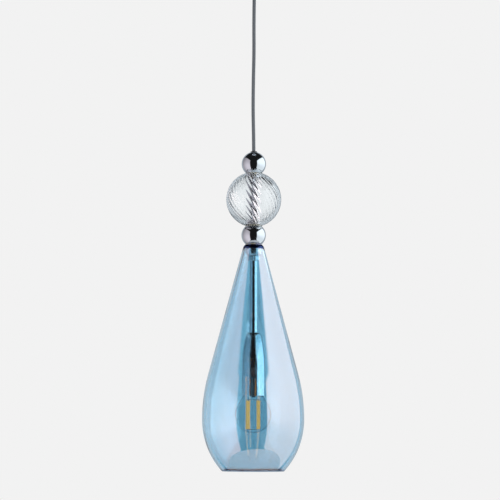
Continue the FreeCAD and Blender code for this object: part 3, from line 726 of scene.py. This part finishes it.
def cord():
    """The hanging cord, the bead it bends at and its end inside the rose. It starts within the
    bead, so that no gap opens between them when the lamp swings."""
    line = smooth_line(CORD_ROUTE)
    flex = fitted(braided("braided_cord", line), "cord", "cord_textile", "cord")
    bead = arc(0, BEND_LEVEL, CORD_DIAMETER / 2 / MM, -90, 90, 40)
    bend = lathe("cord_bend_bead", bead, CEILING, around=48)
    fitted(bend, "cord_bend", "cord_textile", "cord_bend")
    low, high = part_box("cord_upper")
    inner_line = [Vector((0, 0, low.z)), Vector((0, 0, high.z))]
    upper = fitted(braided("cord_in_rose", inner_line), "rose", "cord_textile", "cord_upper")


# ---------------------------------------------------------------- balls

ROD_GAP = 0.1
BUSH_FLANGE = 0.75
BEAD_WALL = 1.2
BEAD_EASE = 0.5


def lean(reach, hole):
    """How far above its middle a ball of radius reach is cut by a hole, in degrees."""
    return math.degrees(math.acos(hole / reach))


def chrome_balls():
    """Two hollow polished balls, bored for the rod, with eased holes."""
    rod_hole = extent("threaded_rod")[0] + ROD_GAP
    bush_hole = extent("cord_bush")[0] - BUSH_FLANGE
    for name, cad, top_hole in (("upper_bead", "upper_ball", bush_hole),
                                ("lower_bead", "lower_ball", rod_hole)):
        radius, foot, _ = extent(cad)
        middle = foot + math.sqrt(radius ** 2 - rod_hole ** 2)
        inner = radius - BEAD_WALL
        outline = arc(0, middle, radius, -lean(radius, rod_hole), lean(radius, top_hole), 72)
        outline += arc(0, middle, inner, lean(inner, top_hole), -lean(inner, rod_hole), 36)
        ball = lathe(name, eased(outline, BEAD_EASE), around=144)
        fitted(ball, "lamp", "chrome", cad)


ORB_WALL = 3.0
ORB_EASE = 0.4
SEAL_GAP = 0.05
RIBS = 34
RIB_POINTS = 10
RIB_DEPTH = 0.70
RIB_TWIST = 0.62
RIB_AT_POLE = 0.35  # the share of its depth that a rib has at the poles, and how soon it grows
RIB_GROWTH = 3


def ribbed_ball():
    """The clear glass ball, its outside drawn into fine ribs that twist from pole to pole."""
    radius, foot, _ = extent("glass_ball")
    top_hole = extent("upper_glass_seal")[0] + SEAL_GAP
    foot_hole = extent("lower_glass_seal")[0] + SEAL_GAP
    middle = foot + math.sqrt(radius ** 2 - foot_hole ** 2)
    inner = radius - ORB_WALL

    def ribs(angle, r, z):
        high = math.hypot(r, z - middle)
        if high < radius - ORB_WALL / 2:
            return angle, r, z
        height = (z - middle) / radius
        turned = angle + RIB_TWIST * math.asin(max(-1, min(1, height)))
        depth = RIB_DEPTH * min(1, RIB_GROWTH * (1 - abs(height)) + RIB_AT_POLE)
        kept = 1 - depth * (0.5 - 0.5 * math.cos(RIBS * turned)) / high
        return angle, r * kept, middle + (z - middle) * kept

    outline = arc(0, middle, radius, -lean(radius, foot_hole), lean(radius, top_hole), 120)
    outline += arc(0, middle, inner, lean(inner, top_hole), -lean(inner, foot_hole), 60)
    ball = lathe("twisted_ball", eased(outline, ORB_EASE), around=RIBS * RIB_POINTS, warp=ribs)
    fitted(ball, "lamp", "clear_glass", "glass_ball")


SLEEVE_BORE = 5.2
SLEEVE_EASE = 0.3


def sleeve():
    """The sleeve over the rod, seen through the ribbed ball."""
    plated = lathe("plated_sleeve", eased(pipe(SLEEVE_BORE, "spacer_sleeve"), SLEEVE_EASE))
    fitted(plated, "lamp", "chrome", "spacer_sleeve", look="satin")


# ---------------------------------------------------------------- shade

UNEVEN = 0.0015  # the most that the radius strays, as a share of it
LUMP_HEIGHT = 90
SHADE_HEIGHT = 282
BELLY_LEVEL = 64.1
LOWER_ARC, UPPER_ARC = 94.8, 217.5
CONE_LEAN = 15.2
SHADE_WALL = 3.0
NECK_HOLE = 9.9
LIP_ROUND, LIP_END = 8.0, 54
RIM_EASE = 0.6


def blown(angle, r, z):
    """The slight unevenness of a blown drop, none at its neck and rim."""
    free = math.sin(math.pi * max(0, min(1, z / SHADE_HEIGHT)))
    spot = Vector((math.cos(angle), math.sin(angle), z / LUMP_HEIGHT))
    return angle, r * (1 + UNEVEN * free * noise.noise(spot)), z


def shade():
    """The drop: a lower and an upper arc meet at the belly, then a cone up to a round shoulder."""
    radius, _, top = extent("glass_shade")
    cone = math.radians(CONE_LEAN)

    def rim_angle(reach):
        return math.degrees(math.asin(BELLY_LEVEL / reach))

    def cone_foot(reach):
        return (radius - UPPER_ARC + reach * math.cos(cone), BELLY_LEVEL + reach * math.sin(cone))

    def up_the_cone(reach, end, steps=20):
        foot_r, foot_z = cone_foot(reach)
        heights = [foot_z + (end - foot_z) * k / steps for k in range(1, steps + 1)]
        return [(foot_r - (z - foot_z) * math.tan(cone), z) for z in heights]

    lip_z = top - LIP_ROUND * math.sin(math.radians(LIP_END))
    outline = arc(radius - LOWER_ARC, BELLY_LEVEL, LOWER_ARC, -rim_angle(LOWER_ARC), 0, 48)
    outline += arc(radius - UPPER_ARC, BELLY_LEVEL, UPPER_ARC, 0, CONE_LEAN, 48)[1:]
    outline += up_the_cone(UPPER_ARC, lip_z + LIP_ROUND * math.sin(cone))
    lip_r = outline[-1][0] - LIP_ROUND * math.cos(cone)
    outline += arc(lip_r, lip_z, LIP_ROUND, CONE_LEAN, LIP_END, 12)[1:] + [(NECK_HOLE, top)]
    inner = UPPER_ARC - SHADE_WALL
    inner_r, inner_z = cone_foot(inner)
    inner_top = inner_z + (inner_r - NECK_HOLE) / math.tan(cone)
    outline += up_the_cone(inner, inner_top)[::-1]
    outline += arc(radius - UPPER_ARC, BELLY_LEVEL, inner, CONE_LEAN, 0, 48)
    inner = LOWER_ARC - SHADE_WALL
    outline += arc(radius - LOWER_ARC, BELLY_LEVEL, inner, 0, -rim_angle(inner), 48)[1:]
    drop = lathe("lustre_drop", eased(outline, RIM_EASE), around=192, warp=blown)
    fitted(drop, "lamp", "blue_glass", "glass_shade")


THREAD_BORE = 5.05
CUP_FOOT_RADIUS = 6.8
CUP_SIDE = 5.5
CUP_BULGE = 8
CUP_EASE = 0.35
NUT_EASE = 0.6
NUT_STEP = 1.0
FLUTES = 24
FLUTE_POINTS = 10
FLUTE_DEPTH = 0.25
FLUTED_SKIN = 0.3
TUBE_BORE = 4
TUBE_EASE = 0.2


def neck():
    """The bell cup and the ring nut that pull the shade up against the lower ball, and below
    them the tube that the lampholder hangs from."""
    radius, foot, top = extent("neck_cup")
    bell = [(THREAD_BORE, foot)]
    bell += bulge((CUP_FOOT_RADIUS, foot), (radius, foot + CUP_SIDE), CUP_BULGE)
    bell += [(radius, top), (THREAD_BORE, top)]
    cup = lathe("bell_cup", eased(bell, CUP_EASE, sharp=12))
    # The cup, nut and tube take the bright chrome copy, a painted highlight.
    fitted(cup, "lamp", "chrome", "neck_cup", look="bright")
    radius = extent("coupling_nut")[0]

    def flutes(angle, r, z):
        if r < radius - FLUTED_SKIN:
            return angle, r, z
        return angle, r - FLUTE_DEPTH * max(0, math.cos(FLUTES * angle)) ** 3, z

    side = split(eased(pipe(THREAD_BORE, "coupling_nut"), NUT_EASE), NUT_STEP)
    nut = lathe("ring_nut", side, around=FLUTES * FLUTE_POINTS, warp=flutes)
    fitted(nut, "lamp", "chrome", "coupling_nut", look="bright")
    tube = lathe("chrome_tube", eased(pipe(TUBE_BORE, "drop_tube"), TUBE_EASE))
    fitted(tube, "lamp", "chrome", "drop_tube", look="bright")


COVER_WALL = 1.0
COVER_FLANK = 187
FLANK_LEVEL, SHOULDER_LEVEL = 125, 167
TIP_RADIUS, INNER_TIP_RADIUS = 6.3, 6.1
TIP_STEPS = 10
COVER_EASE = 0.25


def cover():
    """The chrome bullet over the lampholder: a long arc up to the shoulder, then a tighter curve
    in to the tube."""
    radius, foot, top = extent("holder_cover")
    middle = radius - COVER_FLANK
    lean_in = math.asin((SHOULDER_LEVEL - FLANK_LEVEL) / COVER_FLANK)

    def hinge(shoulder, tip):
        return Vector((shoulder.x - (tip.y - shoulder.y) * math.tan(lean_in), tip.y))

    outline = [(radius - COVER_WALL, foot), (radius, foot)]
    outline += arc(middle, FLANK_LEVEL, COVER_FLANK, 0, math.degrees(lean_in))
    shoulder, tip = Vector(outline[-1]), Vector((TIP_RADIUS, top))
    outline += bent(shoulder, hinge(shoulder, tip), tip, TIP_STEPS)[1:]
    outline += [(THREAD_BORE, top), (THREAD_BORE, top - COVER_WALL)]
    inside = arc(middle, FLANK_LEVEL, COVER_FLANK - COVER_WALL, math.degrees(lean_in), 0)
    shoulder, tip = Vector(inside[0]), Vector((INNER_TIP_RADIUS, top - COVER_WALL))
    outline += bent(tip, hinge(shoulder, tip), shoulder, TIP_STEPS) + inside[1:]
    bullet = lathe("bullet_cover", eased(outline, COVER_EASE), around=128)
    # The cover takes the bright chrome copy, a painted highlight.
    fitted(bullet, "lamp", "chrome", "holder_cover", look="bright")


# ---------------------------------------------------------------- bulb

GLOBE_LEVEL = 70.1
GLOBE_WALL = 0.8
GLOBE_END = 31.5
STEM_RADIUS = 6.3
STEM_FOOT, INNER_STEM_FOOT = 102.6, 102.2
STEM_EASE = 3


def globe():
    """The bulb's clear glass, a ball that runs up into a stem."""
    radius, _, top = extent("bulb_glass")

    def skin(reach, stem_radius, stem_foot):
        ball = arc(0, GLOBE_LEVEL, reach, -90, GLOBE_END, 48)
        return ball + [(stem_radius, stem_foot), (stem_radius, top)]

    outline = skin(radius, STEM_RADIUS, STEM_FOOT)
    outline += skin(radius - GLOBE_WALL, STEM_RADIUS - GLOBE_WALL, INNER_STEM_FOOT)[::-1]
    glass = lathe("bulb_globe", eased(outline, STEM_EASE, sharp=12, steps=5), around=128)
    fitted(glass, "bulb", "bulb_clear", "bulb_glass")


THREAD_PITCH = 2.82
THREAD_STEP = 0.3
CAP_THREAD = (109, 121)
CAP_RUN_OUT = 1.5
CAP_MIDDLE, CAP_DEPTH = 6.45, 0.4
CAP_SKIN = 6.5
CAP_TIP, CAP_INNER_TIP = 5.6, 4.9
CAP_INSIDE = [(5.7, 120.6), (5.7, 109), (6.4, 108.4)]
CAP_EASE = 0.4


def thread(angle, z):
    """A round thread's height, from -1 in its root to 1 on its crest."""
    return math.cos(TURN * z / THREAD_PITCH - angle)


def screw_cap():
    """The bulb's cap, with a rolled thread that runs out at both ends."""
    radius, foot, top = extent("bulb_cap")
    low, high = CAP_THREAD

    def rolled(angle, r, z):
        if r < CAP_SKIN or not low < z < high:
            return angle, r, z
        ends = min(1, (z - low) / CAP_RUN_OUT, (high - z) / CAP_RUN_OUT)
        return angle, r + ends * (CAP_MIDDLE - r + CAP_DEPTH * thread(angle, z)), z

    outline = [(radius, foot), (radius, high), (CAP_TIP, top), (CAP_INNER_TIP, top)]
    outline += [*CAP_INSIDE, (CAP_INSIDE[-1][0], foot)]
    cap = lathe("screw_cap", split(eased(outline, CAP_EASE), THREAD_STEP), warp=rolled)
    fitted(cap, "bulb", "cap_metal", "bulb_cap")


SHELL_BORE = 7.2
SHELL_SKIN = 7.4
SHELL_MIDDLE, SHELL_DEPTH = 7.25, 0.15
SHELL_PLAIN_END = 1


def thread_shell():
    """The holder's brass shell, with the thread that the bulb's cap turns in."""
    _, foot, top = extent("thread_shell")

    def rolled(angle, r, z):
        if r > SHELL_SKIN or not foot + SHELL_PLAIN_END < z < top - SHELL_PLAIN_END:
            return angle, r, z
        return angle, SHELL_MIDDLE + SHELL_DEPTH * thread(angle, z), z

    outline = split(pipe(SHELL_BORE, "thread_shell"), THREAD_STEP)
    fitted(lathe("brass_thread", outline, warp=rolled), "lamp", "brass", "thread_shell")


# ---------------------------------------------------------------- rose

ROSE_WALL = 1.2
ROSE_CORNER = 7
ROSE_HOLE = 5.2
ROSE_EASE = 0.4


def rose():
    """The spun cover at the ceiling, with the hole that the cord grip sits in."""
    radius, foot, top = extent("ceiling_rose", CEILING)
    middle = radius - ROSE_CORNER, foot + ROSE_CORNER
    outline = [(ROSE_HOLE, foot)] + arc(*middle, ROSE_CORNER, -90, 0, 16)
    outline += [(radius, top), (radius - ROSE_WALL, top)]
    outline += arc(*middle, ROSE_CORNER - ROSE_WALL, 0, -90, 16) + [(ROSE_HOLE, foot + ROSE_WALL)]
    spun = lathe("spun_rose", eased(outline, ROSE_EASE), CEILING, around=160)
    fitted(spun, "rose", "chrome", "ceiling_rose")


studio()
floor()
soft_lamps()
repaint_frame()
cord()
chrome_balls()
ribbed_ball()
sleeve()
shade()
neck()
cover()
globe()
screw_cap()
thread_shell()
rose()
